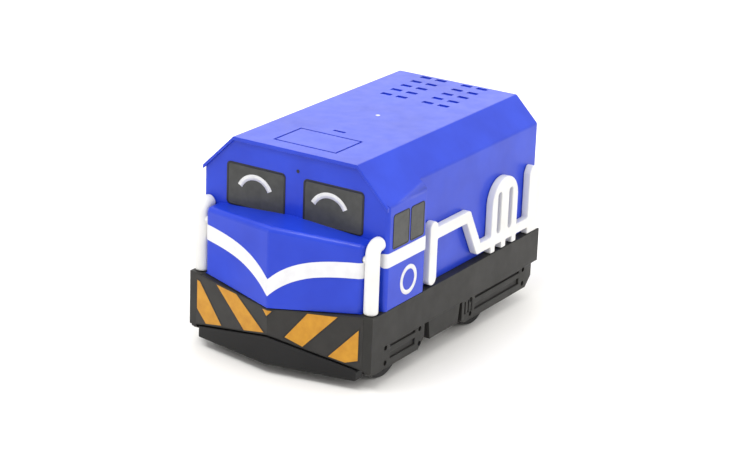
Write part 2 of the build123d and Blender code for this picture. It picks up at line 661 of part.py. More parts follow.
for side, name in ((1, "left"), (-1, "right")):
    save(wheel(side, FRONT_AXLE_Y, WHEEL_R), f"front_{name}_wheel")
    save(wheel(side, REAR_AXLE_Y, WHEEL_R - TYRE_T), f"rear_{name}_wheel")
    save(tyre(side, REAR_AXLE_Y), f"rear_{name}_tyre")
save(axle(FRONT_AXLE_Y), "front_axle")
save(axle(REAR_AXLE_Y), "rear_axle")


# ---------------------------------------------------------------- pull-back motor: gears
def involute(angle):
    """Involute function."""
    return tan(angle) - angle


def gear_outline(teeth, tooth_angle):
    """Outline points of an involute gear about the origin, one tooth centred on tooth_angle."""
    pitch_r = MODULE * teeth / 2
    base_r = pitch_r * cos(PRESSURE_ANGLE)
    root_r = pitch_r - DEDENDUM
    outer_r = pitch_r + ADDENDUM
    half_pitch = (pi * MODULE / 2 - BACKLASH / 2) / (2 * pitch_r)
    flank = []
    for step in range(4):
        radius = max(base_r, root_r) + (outer_r - max(base_r, root_r)) * step / 3
        lean = half_pitch + involute(PRESSURE_ANGLE) - involute(acos(min(1, base_r / radius)))
        flank.append((radius, lean))
    if root_r < base_r:
        flank.insert(0, (root_r, flank[0][1]))
    points = []
    for tooth in range(teeth):
        middle = tooth_angle + tooth * 2 * pi / teeth
        for radius, lean in flank:
            points.append((radius * cos(middle - lean), radius * sin(middle - lean)))
        for radius, lean in reversed(flank):
            points.append((radius * cos(middle + lean), radius * sin(middle + lean)))
    return points


def gear_sketch(teeth, tooth_angle, y, z):
    """Add a gear profile to the open sketch."""
    with Locations((y, z)):
        Polygon(*gear_outline(teeth, tooth_angle), align=None)


GEAR_LAYER_X = -CASE_INNER + 0.4     # left-hand limit of the first mesh
BIG_GEAR_T = 2.2
PINION_T = 3.0
DRUM_X = GEAR_LAYER_X + BIG_GEAR_T + 0.8
DRUM_WEB_T = 1.6
DRUM_DEPTH = 3.9
DRUM_CUP_R = tip_radius(DRUM_TEETH) - 1.2
CUP_WALL = 0.6

with BuildPart() as axle_pinion:
    with BuildSketch(Plane.YZ.offset(GEAR_LAYER_X - 0.1)):
        gear_sketch(PINION_TEETH, IDLER_ANGLE, REAR_AXLE_Y, AXLE_Z)
    extrude(amount=BIG_GEAR_T + 0.4)
    with BuildSketch(Plane.YZ.offset(GEAR_LAYER_X + BIG_GEAR_T)):
        with Locations((REAR_AXLE_Y, AXLE_Z)):
            Circle(1.5)
    extrude(amount=2 * CASE_INNER - BIG_GEAR_T - 0.8)
    with BuildSketch(Plane.YZ.offset(-CASE_INNER)):
        with Locations((REAR_AXLE_Y, AXLE_Z)):
            Circle(AXLE_R + PRESS_GAP)
    extrude(amount=2 * CASE_INNER, mode=Mode.SUBTRACT)

save(axle_pinion.part, "axle_pinion")

with BuildPart() as idler_gear:
    with BuildSketch(Plane.YZ.offset(GEAR_LAYER_X)):
        gear_sketch(IDLER_TEETH, IDLER_ANGLE + pi + pi / IDLER_TEETH, IDLER_Y, IDLER_Z)
    extrude(amount=BIG_GEAR_T)
    with BuildSketch(Plane.YZ.offset(GEAR_LAYER_X + BIG_GEAR_T)):
        gear_sketch(PINION_TEETH, DRUM_ANGLE, IDLER_Y, IDLER_Z)
    extrude(amount=PINION_T)
    with BuildSketch(Plane.YZ.offset(GEAR_LAYER_X)):
        with Locations((IDLER_Y, IDLER_Z)):
            Circle(IDLER_SHAFT_R + RUN_GAP)
    extrude(amount=BIG_GEAR_T + PINION_T, mode=Mode.SUBTRACT)
    # Lightening ring on the open face
    with BuildSketch(Plane.YZ.offset(GEAR_LAYER_X)):
        with Locations((IDLER_Y, IDLER_Z)):
            Circle(3.6)
            Circle(1.6, mode=Mode.SUBTRACT)
    extrude(amount=0.7, mode=Mode.SUBTRACT)

save(idler_gear.part, "idler_gear")

with BuildPart() as spring_drum:
    with BuildSketch(Plane.YZ.offset(DRUM_X)):
        gear_sketch(DRUM_TEETH, DRUM_ANGLE + pi + pi / DRUM_TEETH, DRUM_Y, DRUM_Z)
    extrude(amount=DRUM_WEB_T)
    with BuildSketch(Plane.YZ.offset(DRUM_X + DRUM_WEB_T)):
        with Locations((DRUM_Y, DRUM_Z)):
            Circle(DRUM_CUP_R)
            Circle(DRUM_CUP_R - CUP_WALL, mode=Mode.SUBTRACT)
    extrude(amount=DRUM_DEPTH)
    with BuildSketch(Plane.YZ.offset(DRUM_X)):
        with Locations((DRUM_Y, DRUM_Z)):
            Circle(ARBOR_R + RUN_GAP)
    extrude(amount=DRUM_WEB_T, mode=Mode.SUBTRACT)

save(spring_drum.part, "spring_drum")


# ---------------------------------------------------------------- pull-back motor: spring and shafts
def spiral_point(turn, offset):
    """Point on the mainspring's spiral, offset outwards from its middle line."""
    inner = ARBOR_R + 0.35
    outer = DRUM_CUP_R - CUP_WALL - SPRING_T / 2 - 0.03
    radius = inner + (outer - inner) * turn / SPRING_TURNS + offset
    angle = 2 * pi * turn
    return (DRUM_Y + radius * cos(angle), DRUM_Z + radius * sin(angle))


POINTS_PER_TURN = 12
with BuildPart() as mainspring:
    with BuildSketch(Plane.YZ.offset(DRUM_X + DRUM_WEB_T + 0.1)):
        steps = range(SPRING_TURNS * POINTS_PER_TURN + 1)
        with BuildLine():
            outer_line = Spline(*[spiral_point(s / POINTS_PER_TURN, SPRING_T / 2) for s in steps])
            inner_line = Spline(*[spiral_point(s / POINTS_PER_TURN, -SPRING_T / 2) for s in steps])
            Line(outer_line @ 0, inner_line @ 0)
            Line(outer_line @ 1, inner_line @ 1)
        make_face()
    extrude(amount=DRUM_DEPTH - 0.3)

save(mainspring.part, "mainspring")

with BuildPart() as idler_shaft:
    with BuildSketch(Plane.YZ.offset(-MOTOR_HALF)):
        with Locations((IDLER_Y, IDLER_Z)):
            Circle(IDLER_SHAFT_R)
    extrude(amount=MOTOR_WIDTH)

save(idler_shaft.part, "idler_shaft")

with BuildPart() as spring_arbor:
    with BuildSketch(Plane.YZ.offset(-MOTOR_HALF)):
        with Locations((DRUM_Y, DRUM_Z)):
            Circle(ARBOR_R)
    extrude(amount=MOTOR_WIDTH)
    # Slot that the spring's inner end hooks into
    with BuildSketch(Plane.YZ.offset(DRUM_X + DRUM_WEB_T + 0.1)):
        with Locations((DRUM_Y, DRUM_Z)):
            Rectangle(3 * ARBOR_R, 0.3)
    extrude(amount=MOTOR_WIDTH, mode=Mode.SUBTRACT)

save(spring_arbor.part, "spring_arbor")


# ---------------------------------------------------------------- pull-back motor: case
CASE_SCREW_R = 0.6
CASE_SCREW_BOSS_R = 1.4
CASE_SCREW_HEAD_R = 1.1
CASE_SCREW_HEAD_T = 0.8
case_screw_places = [
    (IDLER_Y - 3.9, DRUM_Z + 0.6),
    (REAR_AXLE_Y + 4.0, AXLE_Z + 2.2),
]


def case_hull(shrink):
    """Add the case's side outline: a hull round the three gears, smaller by shrink."""
    with Locations((REAR_AXLE_Y, AXLE_Z)):
        Circle(CASE_A_R - shrink)
    with Locations((IDLER_Y, IDLER_Z)):
        Circle(CASE_B_R - shrink)
    with Locations((DRUM_Y, DRUM_Z)):
        Circle(CASE_C_R - shrink)
    make_hull()


def case_half(side):
    """Half of the motor case, open at X = 0, with one mounting ear."""
    ear_y = motor_screw_places[0][1] if side > 0 else motor_screw_places[1][1]
    inner_y = CASE_FRONT_Y + 3.0 if side > 0 else CASE_REAR_Y - 3.0
    outer_y = CASE_FRONT_Y - EAR_LENGTH + 0.3 if side > 0 else CASE_REAR_Y + EAR_LENGTH - 0.3
    with BuildPart() as half:
        with BuildSketch(Plane.YZ):
            case_hull(0)
        extrude(amount=side * MOTOR_HALF)
        with BuildSketch(Plane.YZ):
            with Locations(*case_screw_places):
                Circle(CASE_SCREW_BOSS_R)
        extrude(amount=side * MOTOR_HALF)
        with BuildSketch(Plane.XY.offset(DECK_Z)):
            with Locations((side * (MOTOR_HALF / 2), (inner_y + outer_y) / 2)):
                Rectangle(MOTOR_HALF - 0.6, abs(inner_y - outer_y))
        extrude(amount=EAR_T)
        with BuildSketch(Plane.YZ):
            case_hull(CASE_WALL)
        extrude(amount=side * CASE_INNER, mode=Mode.SUBTRACT)
        with BuildSketch(Plane.YZ):
            with Locations((REAR_AXLE_Y, AXLE_Z)):
                Circle(AXLE_R + RUN_GAP)
            with Locations((IDLER_Y, IDLER_Z)):
                Circle(IDLER_SHAFT_R + PRESS_GAP)
            with Locations((DRUM_Y, DRUM_Z)):
                Circle(ARBOR_R + PRESS_GAP)
            with Locations(*case_screw_places):
                Circle(CASE_SCREW_R + SCREW_GAP)
        extrude(amount=side * MOTOR_HALF, mode=Mode.SUBTRACT)
        with BuildSketch(Plane.XY.offset(DECK_Z)):
            with Locations((side * EAR_SCREW_X, ear_y)):
                Circle(MOTOR_SCREW_R + 0.1)
        extrude(amount=EAR_T, mode=Mode.SUBTRACT)
    return half.part


save(case_half(1), "motor_case_left")
save(case_half(-1), "motor_case_right")


# ---------------------------------------------------------------- fasteners
def cross_recess(width, slot):
    """Add a cross-shaped driver recess to the open sketch."""
    Rectangle(width, slot)
    Rectangle(slot, width)


with BuildPart() as case_screws:
    for y, z in case_screw_places:
        with BuildSketch(Plane.YZ.offset(MOTOR_HALF)):
            with Locations((y, z)):
                Circle(CASE_SCREW_HEAD_R)
        extrude(amount=CASE_SCREW_HEAD_T)
        with BuildSketch(Plane.YZ.offset(MOTOR_HALF)):
            with Locations((y, z)):
                Circle(CASE_SCREW_R)
        extrude(amount=-MOTOR_WIDTH + 1.5)
        with BuildSketch(Plane.YZ.offset(MOTOR_HALF + CASE_SCREW_HEAD_T)):
            with Locations((y, z)):
                cross_recess(1.3, 0.35)
        extrude(amount=-0.4, mode=Mode.SUBTRACT)

save(case_screws.part, "case_screws")

MOTOR_SCREW_HEAD_R = 1.4
MOTOR_SCREW_HEAD_T = 0.9
with BuildPart() as motor_screws:
    head_z = DECK_Z + EAR_T
    with BuildSketch(Plane.XY.offset(head_z)):
        with Locations(*motor_screw_places):
            Circle(MOTOR_SCREW_HEAD_R)
    extrude(amount=MOTOR_SCREW_HEAD_T)
    with BuildSketch(Plane.XY.offset(head_z)):
        with Locations(*motor_screw_places):
            Circle(MOTOR_SCREW_R)
    extrude(amount=-(head_z - MOTOR_SCREW_END_Z))
    with BuildSketch(Plane.XY.offset(head_z + MOTOR_SCREW_HEAD_T)):
        with Locations(*motor_screw_places):
            cross_recess(1.6, 0.4)
    extrude(amount=-0.4, mode=Mode.SUBTRACT)

save(motor_screws.part, "motor_screws")

with BuildPart() as body_screws:
    with BuildSketch(Plane.XY.offset(SCREW_SEAT_Z)):
        with Locations(*screw_places):
            Circle(SCREW_HEAD_R)
    extrude(amount=-SCREW_HEAD_T)
    with BuildSketch(Plane.XY.offset(SCREW_SEAT_Z)):
        with Locations(*screw_places):
            Circle(SCREW_R)
    extrude(amount=SCREW_TOP_Z - SCREW_SEAT_Z)
    with BuildSketch(Plane.XY.offset(SCREW_SEAT_Z - SCREW_HEAD_T)):
        with Locations(*screw_places):
            cross_recess(2.0, 0.5)
    extrude(amount=0.6, mode=Mode.SUBTRACT)

save(body_screws.part, "body_screws")


# ---------------------------------------------------------------- coupler
COUPLER_HALF = 1.4
EYE_Y = REAR_Y + COUPLER_REACH - EYE_R - EYE_RING
with BuildPart() as coupler_bar:
    with BuildSketch(Plane.XY.offset(COUPLER_Z)):
        with Locations((0, COUPLER_PIVOT_Y)):
            Circle(COUPLER_BOSS_R)
        with Locations((0, (COUPLER_PIVOT_Y + EYE_Y) / 2)):
            Rectangle(2 * COUPLER_HALF, EYE_Y - COUPLER_PIVOT_Y)
        with Locations((0, EYE_Y)):
            Circle(EYE_R + EYE_RING)
            Circle(EYE_R, mode=Mode.SUBTRACT)
        with Locations((0, COUPLER_PIVOT_Y)):
            Circle(PIN_R + RUN_GAP, mode=Mode.SUBTRACT)
    extrude(amount=COUPLER_T)

save(coupler_bar.part, "coupler_bar")

PIN_HEAD_R = 1.8
PIN_HEAD_T = 0.6
with BuildPart() as coupler_pin:
    with BuildSketch(Plane.XY.offset(COUPLER_Z - 0.1)):
        with Locations((0, COUPLER_PIVOT_Y)):
            Circle(PIN_HEAD_R)
    extrude(amount=-PIN_HEAD_T)
    with BuildSketch(Plane.XY.offset(COUPLER_Z - 0.1)):
        with Locations((0, COUPLER_PIVOT_Y)):
            Circle(PIN_R)
    extrude(amount=DECK_Z - COUPLER_Z)

save(coupler_pin.part, "coupler_pin")
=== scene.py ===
# %% [markdown]
# # A pocket toy train locomotive
# The real toy is a handful of moulded parts: a blue body shell, a grey chassis, a dark snow plow and
# white rails, with the marks printed on. The CAD model already holds every solid piece and joint.
# This notebook gives those pieces soft moulded edges, real plastics and their printed marks.

# %% Load the imported model
import math

import bmesh
import bpy
from mathutils import Matrix, Vector
from mathutils.bvhtree import BVHTree


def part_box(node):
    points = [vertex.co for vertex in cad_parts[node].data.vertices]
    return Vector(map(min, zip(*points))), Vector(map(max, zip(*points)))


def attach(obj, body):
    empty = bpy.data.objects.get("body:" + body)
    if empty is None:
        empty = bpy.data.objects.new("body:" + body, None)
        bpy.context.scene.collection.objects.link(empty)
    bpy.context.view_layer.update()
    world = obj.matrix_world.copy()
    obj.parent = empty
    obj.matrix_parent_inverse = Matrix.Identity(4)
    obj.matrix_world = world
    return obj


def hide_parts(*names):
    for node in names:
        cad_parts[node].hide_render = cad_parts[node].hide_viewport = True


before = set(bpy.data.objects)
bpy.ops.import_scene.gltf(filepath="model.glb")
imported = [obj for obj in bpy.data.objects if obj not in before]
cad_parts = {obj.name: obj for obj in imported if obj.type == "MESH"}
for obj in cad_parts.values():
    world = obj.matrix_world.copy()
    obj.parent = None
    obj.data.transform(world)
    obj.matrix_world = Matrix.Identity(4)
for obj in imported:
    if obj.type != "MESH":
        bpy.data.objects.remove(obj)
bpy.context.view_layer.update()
print("CAD nodes:", len(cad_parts))

# %% [markdown]
# ## Landmarks
# A moulder measures everything from a few faces: the windscreen, the deck, the roof. The CAD boxes give
# these, and the prints and bars below are placed from them. The nose's half width is given.

# %% Landmarks, in millimetres
MM = 0.001
SEAT_GAP = 0.05
shell_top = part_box("body_shell")[1]
ROOF = shell_top.z / MM
REAR = shell_top.y / MM
SIDE = shell_top.x / MM
CAB_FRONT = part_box("left_front_grab_rail")[1].y / MM + SEAT_GAP
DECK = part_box("left_handrail")[0].z / MM - SEAT_GAP
NOSE_SIDE = 12.8
NOSE_DIP_Z = 9.45
print("cab front, rear, roof, deck:", round(CAB_FRONT, 2), round(REAR, 2), round(ROOF, 2), round(DECK, 2))


# %% [markdown]
# ## The camera
# The toy is seen from above its front left corner, close enough for the vanishing lines to show.
# A long lens keeps the same view point and fills the frame with the one small object.

# %% Camera
def look_from(place, target, roll):
    """Turn matrix of a camera at place that looks at target, rolled by some degrees."""
    aim = (Vector(target) - Vector(place)).to_track_quat("-Z", "Y").to_matrix().to_4x4()
    return Matrix.Translation(place) @ aim @ Matrix.Rotation(math.radians(roll), 4, "Z")


camera = bpy.data.objects.new("camera", bpy.data.cameras.new("camera"))
bpy.context.scene.collection.objects.link(camera)
camera.data.lens = 112.0
camera.data.clip_start = 0.01
camera.matrix_world = look_from((0.165465, -0.267484, 0.124896), (0.0005, -0.001, 0.0142), 2.2)
bpy.context.scene.camera = camera
print("camera lens:", camera.data.lens)


# %% [markdown]
# ## Soft studio light
# Small glossy toys are lit by big white boxes: what the plastic reflects is the box, not the lamp.
# One box overhead and one behind turn the roof pale, one at the left side brightens the roof's slope
# and the flank, a narrow one above the front lights the nose, and the white room fills the rest.

# %% Lights, room and floor
def softbox(name, place, target, width, height, power, colour=(1, 1, 1)):
    """Rectangular area light at place that faces target."""
    light = bpy.data.lights.new(name, "AREA")
    light.shape = "RECTANGLE"
    light.size, light.size_y = width, height
    light.energy = power
    light.color = colour
    lamp = bpy.data.objects.new(name, light)
    lamp.matrix_world = look_from(place, target, 0)
    bpy.context.scene.collection.objects.link(lamp)


softbox("overhead_box", (-0.05, 0.15, 0.62), (0, 0, 0.01), 0.6, 0.5, 1.0, (1.0, 0.985, 0.96))
softbox("back_box", (-0.42, 0.72, 0.40), (0, 0, 0.015), 1.0, 0.6, 1.2, (1.0, 1.0, 1.0))
softbox("front_top_box", (-0.12, -0.30, 0.66), (0, 0, 0.015), 0.5, 0.14, 2.2, (1.0, 1.0, 1.0))
softbox("side_box", (0.62, 0.10, 0.42), (0, 0, 0.015), 0.5, 0.45, 1.2, (1.0, 0.99, 0.97))

world = bpy.data.worlds.new("studio")
bpy.context.scene.world = world
world.use_nodes = True
room = world.node_tree.nodes["Background"].inputs
room["Color"].default_value = (1, 1, 1, 1)
room["Strength"].default_value = 1.0
bpy.context.scene.view_settings.view_transform = "Standard"
bpy.context.scene.view_settings.exposure = 0.0

floor_mesh = bpy.data.meshes.new("floor")
floor_mesh.from_pydata([(-3, -3, 0), (3, -3, 0), (3, 3, 0), (-3, 3, 0)], [], [(0, 1, 2, 3)])
floor = bpy.data.objects.new("floor", floor_mesh)
bpy.context.scene.collection.objects.link(floor)


# %% [markdown]
# ## Materials
# Moulded plastic is never one flat colour. The melt leaves faint clouds in the tone, the polished or
# spark-eroded mould leaves a fine grain, and handling leaves slightly duller patches. Three noises at three
# sizes give that: one for tone, one for gloss and one for the grain's bump. All read object
# coordinates, so the pattern stays on the piece when it turns. Each range of roughness stays wholly
# above or wholly below 0.274, since ranges that cross it showed thin outlines.

# %% Material helpers
def wire(tree, kind, **settings):
    """New node of a kind with its plain settings."""
    node = tree.nodes.new(kind)
    for key, value in settings.items():
        setattr(node, key, value)
    return node


def noise_at(tree, size_mm, detail=3.0, stretch=(1, 1, 1)):
    """Noise whose blobs are about size_mm across, on object coordinates; returns its output socket."""
    place = wire(tree, "ShaderNodeTexCoord")
    scale = wire(tree, "ShaderNodeMapping")
    scale.inputs["Scale"].default_value = stretch
    cloud = wire(tree, "ShaderNodeTexNoise")
    cloud.inputs["Scale"].default_value = 1.0 / (size_mm * MM)
    cloud.inputs["Detail"].default_value = detail
    tree.links.new(place.outputs["Object"], scale.inputs["Vector"])
    tree.links.new(scale.outputs["Vector"], cloud.inputs["Vector"])
    return cloud.outputs["Fac"]


def spread(tree, source, low, high):
    """Map a noise's middle range to low..high."""
    ranger = wire(tree, "ShaderNodeMapRange", interpolation_type="SMOOTHSTEP")
    ranger.inputs["From Min"].default_value = 0.15
    ranger.inputs["From Max"].default_value = 0.85
    ranger.inputs["To Min"].default_value = low
    ranger.inputs["To Max"].default_value = high
    tree.links.new(source, ranger.inputs["Value"])
    return ranger.outputs["Result"]


def blend_tones(tree, source, dark, light):
    """Mix two tones by a noise; returns the colour socket."""
    mix = wire(tree, "ShaderNodeMix", data_type="RGBA")
    for socket in mix.inputs:
        if socket.type == "RGBA" and socket.name in "AB":
            socket.default_value = (*(dark if socket.name == "A" else light), 1)
    tree.links.new(source, mix.inputs["Factor"])
    return [s for s in mix.outputs if s.type == "RGBA"][0]


def finish_of(name, dark, light, gloss, grain_mm, grain_depth_mm, tone_mm=7.0, coat=0.0, metal=0.0,
              stretch=(1, 1, 1), shine=0.3):
    """Surface with clouded tone, patchy gloss (low, high roughness) and a fine grain."""
    surface = bpy.data.materials.new(name)
    surface.use_nodes = True
    tree = surface.node_tree
    shader = tree.nodes["Principled BSDF"]
    shader.inputs["Metallic"].default_value = metal
    shader.inputs["Specular IOR Level"].default_value = shine
    shader.inputs["Coat Weight"].default_value = coat
    shader.inputs["Coat Roughness"].default_value = 0.12
    tone = spread(tree, noise_at(tree, tone_mm, 3.0), 0.0, 1.0)
    tree.links.new(blend_tones(tree, tone, dark, light), shader.inputs["Base Color"])
    patches = noise_at(tree, tone_mm / 3, 3.0, stretch)
    tree.links.new(spread(tree, patches, *gloss), shader.inputs["Roughness"])
    bump = wire(tree, "ShaderNodeBump")
    bump.inputs["Strength"].default_value = 1.0
    bump.inputs["Distance"].default_value = grain_depth_mm * MM
    tree.links.new(noise_at(tree, grain_mm, 0.0, stretch), bump.inputs["Height"])
    tree.links.new(bump.outputs["Normal"], shader.inputs["Normal"])
    return surface


# %% The toy's own finishes, with painted shade in the plow's tone
shell_plastic = finish_of("shell_blue_plastic", (0.008, 0.034, 0.46), (0.014, 0.052, 0.58),
                          (0.29, 0.38), 0.16, 0.0014, coat=0.12)
chassis_plastic = finish_of("chassis_grey_plastic", (0.016, 0.0155, 0.014), (0.028, 0.027, 0.025),
                            (0.46, 0.58), 0.16, 0.006)
# The plow's base tone, far darker than the chassis grey, is painted shade for its down-facing facets; its
# low roughness is its own gloss.
plow_plastic_painted_shade = finish_of("plow_dark_plastic_painted_shade", (0.004, 0.004, 0.0045), (0.008, 0.008, 0.0085),
                         (0.14, 0.24), 0.3, 0.0015, shine=0.25)
rail_plastic = finish_of("rail_white_plastic", (0.71, 0.705, 0.69), (0.79, 0.785, 0.77),
                         (0.30, 0.40), 0.2, 0.0015, tone_mm=4.0)
wheel_plastic = finish_of("wheel_black_plastic", (0.010, 0.010, 0.011), (0.018, 0.018, 0.019),
                          (0.34, 0.46), 0.3, 0.008)
tyre_rubber = finish_of("tyre_rubber", (0.010, 0.010, 0.010), (0.022, 0.022, 0.021),
                        (0.62, 0.80), 0.18, 0.016, tone_mm=3.0)
axle_steel = finish_of("drawn_steel", (0.50, 0.50, 0.52), (0.64, 0.64, 0.66),
                       (0.29, 0.38), 0.2, 0.003, tone_mm=2.0, metal=1.0, stretch=(0.08, 1, 1))
case_nylon = finish_of("natural_nylon", (0.62, 0.60, 0.52), (0.72, 0.70, 0.62),
                       (0.40, 0.52), 0.3, 0.008)
gear_acetal = finish_of("natural_acetal", (0.72, 0.70, 0.60), (0.80, 0.78, 0.70),
                        (0.30, 0.40), 0.4, 0.004)
spring_steel = finish_of("blued_spring_steel", (0.10, 0.13, 0.26), (0.30, 0.32, 0.38),
                         (0.29, 0.36), 0.3, 0.003, tone_mm=2.5, metal=1.0, stretch=(1, 1, 0.2))
screw_steel = finish_of("zinc_plated_steel", (0.42, 0.43, 0.45), (0.58, 0.58, 0.57),
                        (0.29, 0.42), 0.25, 0.006, tone_mm=1.5, metal=1.0)
coupler_plastic = finish_of("coupler_black_plastic", (0.012, 0.012, 0.013), (0.024, 0.024, 0.025),
                            (0.36, 0.48), 0.3, 0.010)
white_ink = finish_of("white_ink", (0.70, 0.70, 0.72), (0.79, 0.79, 0.81), (0.30, 0.42), 0.12, 0.001,
                      tone_mm=1.5)
glass_ink = finish_of("windscreen_ink", (0.042, 0.043, 0.041), (0.062, 0.063, 0.060), (0.29, 0.40),
                      0.12, 0.001, tone_mm=1.2)
border_ink = finish_of("window_border_ink", (0.014, 0.014, 0.020), (0.022, 0.022, 0.030), (0.30, 0.40),
                       0.12, 0.001, tone_mm=1.0)
arc_ink = finish_of("wiper_arc_ink", (0.60, 0.60, 0.61), (0.72, 0.72, 0.73), (0.30, 0.42), 0.12, 0.001,
                    tone_mm=1.0)
panel_ink = finish_of("hazard_panel_ink", (0.018, 0.017, 0.016), (0.028, 0.026, 0.024), (0.30, 0.42),
                      0.12, 0.001, tone_mm=2.0)
orange_ink = finish_of("hazard_orange_ink", (0.46, 0.20, 0.014), (0.58, 0.28, 0.022), (0.30, 0.42),
                       0.12, 0.001, tone_mm=1.2)
outline_ink = finish_of("hazard_outline_ink", (0.012, 0.011, 0.010), (0.020, 0.018, 0.016),
                        (0.34, 0.44), 0.12, 0.001, tone_mm=1.0)
floor_paint = finish_of("pale_floor", (0.86, 0.845, 0.82), (0.88, 0.865, 0.84), (0.55, 0.65), 3.0, 0.01,
                        tone_mm=90.0)
floor.data.materials.append(floor_paint)
print("materials:", len(bpy.data.materials))


# %% [markdown]
# ## Soft moulded edges
# No moulded edge is knife sharp. The CAD solids keep theirs sharp, so each visible one is copied, its
# flat facets are merged back into whole faces, and only its real edges get a Bevel. An edge's weight
# sets how round it is: the shell's long outer edges are rounder than its small grooves.

# %% Helper for finished copies
def plain_mesh(piece):
    """Replace a piece's modifiers by the mesh that they make."""
    bpy.context.view_layer.update()
    made = bpy.data.meshes.new_from_object(piece.evaluated_get(bpy.context.evaluated_depsgraph_get()))
    piece.modifiers.clear()
    old = piece.data
    piece.data = made
    if isinstance(old, bpy.types.Mesh):
        bpy.data.meshes.remove(old)
    return piece


def is_open_edge(edge, tree):
    """True for a ridge whose outer side nothing of the same piece covers."""
    first, second = edge.link_faces
    middle = (edge.verts[0].co + edge.verts[1].co) / 2
    outward = (first.normal + second.normal).normalized()
    ridge = (second.calc_center_median() - middle).dot(first.normal) < 0
    return ridge and tree.ray_cast(middle + outward * 1e-5, outward)[0] is None


MERGE_MM = 0.001
CORNER = math.radians(28)
WIDEST_MM = 0.32


def finished_copy(node, surface, width_at):
    """Copy of a CAD node with rounded ridges; width_at(middle, length), in mm, says how round."""
    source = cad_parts[node]
    form = bmesh.new()
    form.from_mesh(source.data)
    bmesh.ops.remove_doubles(form, verts=form.verts, dist=MERGE_MM * MM)
    bmesh.ops.dissolve_limit(form, angle_limit=math.radians(0.6), verts=form.verts, edges=form.edges)
    many_sided = [face for face in form.faces if len(face.verts) > 4]
    bmesh.ops.triangulate(form, faces=many_sided)
    tree = BVHTree.FromBMesh(form)
    weight = form.edges.layers.float.new("bevel_weight_edge")
    rounded = 0
    for edge in form.edges:
        if len(edge.link_faces) != 2 or edge.calc_face_angle(0) < CORNER:
            continue
        middle = (edge.verts[0].co + edge.verts[1].co) / 2 / MM
        width = width_at(middle, edge.calc_length() / MM)
        if width and is_open_edge(edge, tree):
            edge[weight] = width / WIDEST_MM
            rounded += 1
        else:
            edge.smooth = False
    for face in form.faces:
        face.smooth = True
    mesh = bpy.data.meshes.new(node + "_finished")
    form.to_mesh(mesh)
    form.free()
    mesh.materials.append(surface)
    piece = bpy.data.objects.new(node + "_finished", mesh)
    bpy.context.scene.collection.objects.link(piece)
    bevel = piece.modifiers.new("soft_edges", "BEVEL")
    bevel.limit_method = "WEIGHT"
    bevel.width = WIDEST_MM * MM
    bevel.segments = 3
    bevel.use_clamp_overlap = False
    flat = piece.modifiers.new("flat_faces", "WEIGHTED_NORMAL")
    flat.keep_sharp = True
    flat.weight = 100
    plain_mesh(piece)
    print(piece.name, rounded, "edges rounded,", len(piece.data.polygons), "faces")
    return piece


def melted_copy(node, surface, voxel_mm=0.1, rounds=7):
    """Copy of a CAD node whose every edge is softened: remeshed finely, relaxed, then thinned out."""
    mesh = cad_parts[node].data.copy()
    mesh.materials.clear()
    mesh.materials.append(surface)
    piece = bpy.data.objects.new(node + "_finished", mesh)
    bpy.context.scene.collection.objects.link(piece)
    weld = piece.modifiers.new("weld", "WELD")
    weld.merge_threshold = 1e-6
    fine = piece.modifiers.new("fine", "REMESH")
    fine.mode = "VOXEL"
    fine.voxel_size = voxel_mm * MM
    fine.use_smooth_shade = True
    relax = piece.modifiers.new("relax", "SMOOTH")
    relax.factor = 0.5
    relax.iterations = rounds
    thin = piece.modifiers.new("thin", "DECIMATE")
    thin.ratio = 0.3
    plain_mesh(piece)
    for face in piece.data.polygons:
        face.use_smooth = True
    print(piece.name, len(piece.data.polygons), "faces")
    return piece


def stand_for(piece, node, body):
    """A finished piece rides on its body and stands for its CAD node."""
    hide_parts(node)
    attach(piece, body)


# %% How round each edge is
CAB_LENGTH = 9.8


def shell_width(middle, length):
    """Long outer edges are rounder than the brim and the lower edge; grooves and the step stay crisp."""
    on_roof = abs(middle.x) < 9.6 and middle.z > ROOF - 1 and CAB_FRONT + 1 < middle.y < REAR - 0.4
    if length < 3 or on_roof:
        return 0
    if middle.y < CAB_FRONT - 0.05 and middle.z > 24:
        return 0.07
    if abs(middle.y - CAB_FRONT - CAB_LENGTH) < 1.2 and middle.z > 24:
        return 0
    return 0.12 if middle.z < 11 else 0.3


def frame_width(middle, length):
    """The chassis has small radii, and none on its fine relief."""
    if length < 0.8:
        return 0
    return 0.12 if length > 4 else 0.06


def plow_width(middle, length):
    """The plow's edges are all alike."""
    return 0.16 if length > 1 else 0.05


def coupler_width(middle, length):
    """The coupler bar."""
    return 0.12


# %% Shell, chassis, plow and coupler bar
finished = (
    ("body_shell", shell_plastic, shell_width, "locomotive", "shell_blue"),
    ("chassis_frame", chassis_plastic, frame_width, "locomotive", "chassis_grey"),
    ("snow_plow", plow_plastic_painted_shade, plow_width, "locomotive", "plow_black"),
    ("coupler_bar", coupler_plastic, coupler_width, "coupler", "coupler_plastic"),
)
for node, surface, width_at, body, slot in finished:
    stand_for(finished_copy(node, surface, width_at), node, body)


# %% [markdown]
# ## Handrails
# The handrail is one flat moulding of bars, an arch and slots, all with soft edges. Its outline has
# many short arcs where bars meet, and a bevel would trip over them. Remeshing it into tiny voxels
# and relaxing them rounds every edge alike, as the mould's own radii do.

# %% Two handrails
for node in ("left_handrail", "right_handrail"):
    stand_for(melted_copy(node, rail_plastic), node, "locomotive")


# %% [markdown]
# ## Front grab rails
# Each is a round bar, upright beside the nose and bent back to the cab. A bar that follows a path is a
# job for Geometry Nodes: Fillet Curve bends the path, and Curve to Mesh runs a circle along it.

# %% Node tree for a bent bar
def group_input(tree, name, kind, value=None):
    """Named input of a node group; returns its identifier."""
    socket = tree.interface.new_socket(name=name, in_out="INPUT", socket_type=kind)
    if value is not None:
        socket.default_value = value
    return socket.identifier


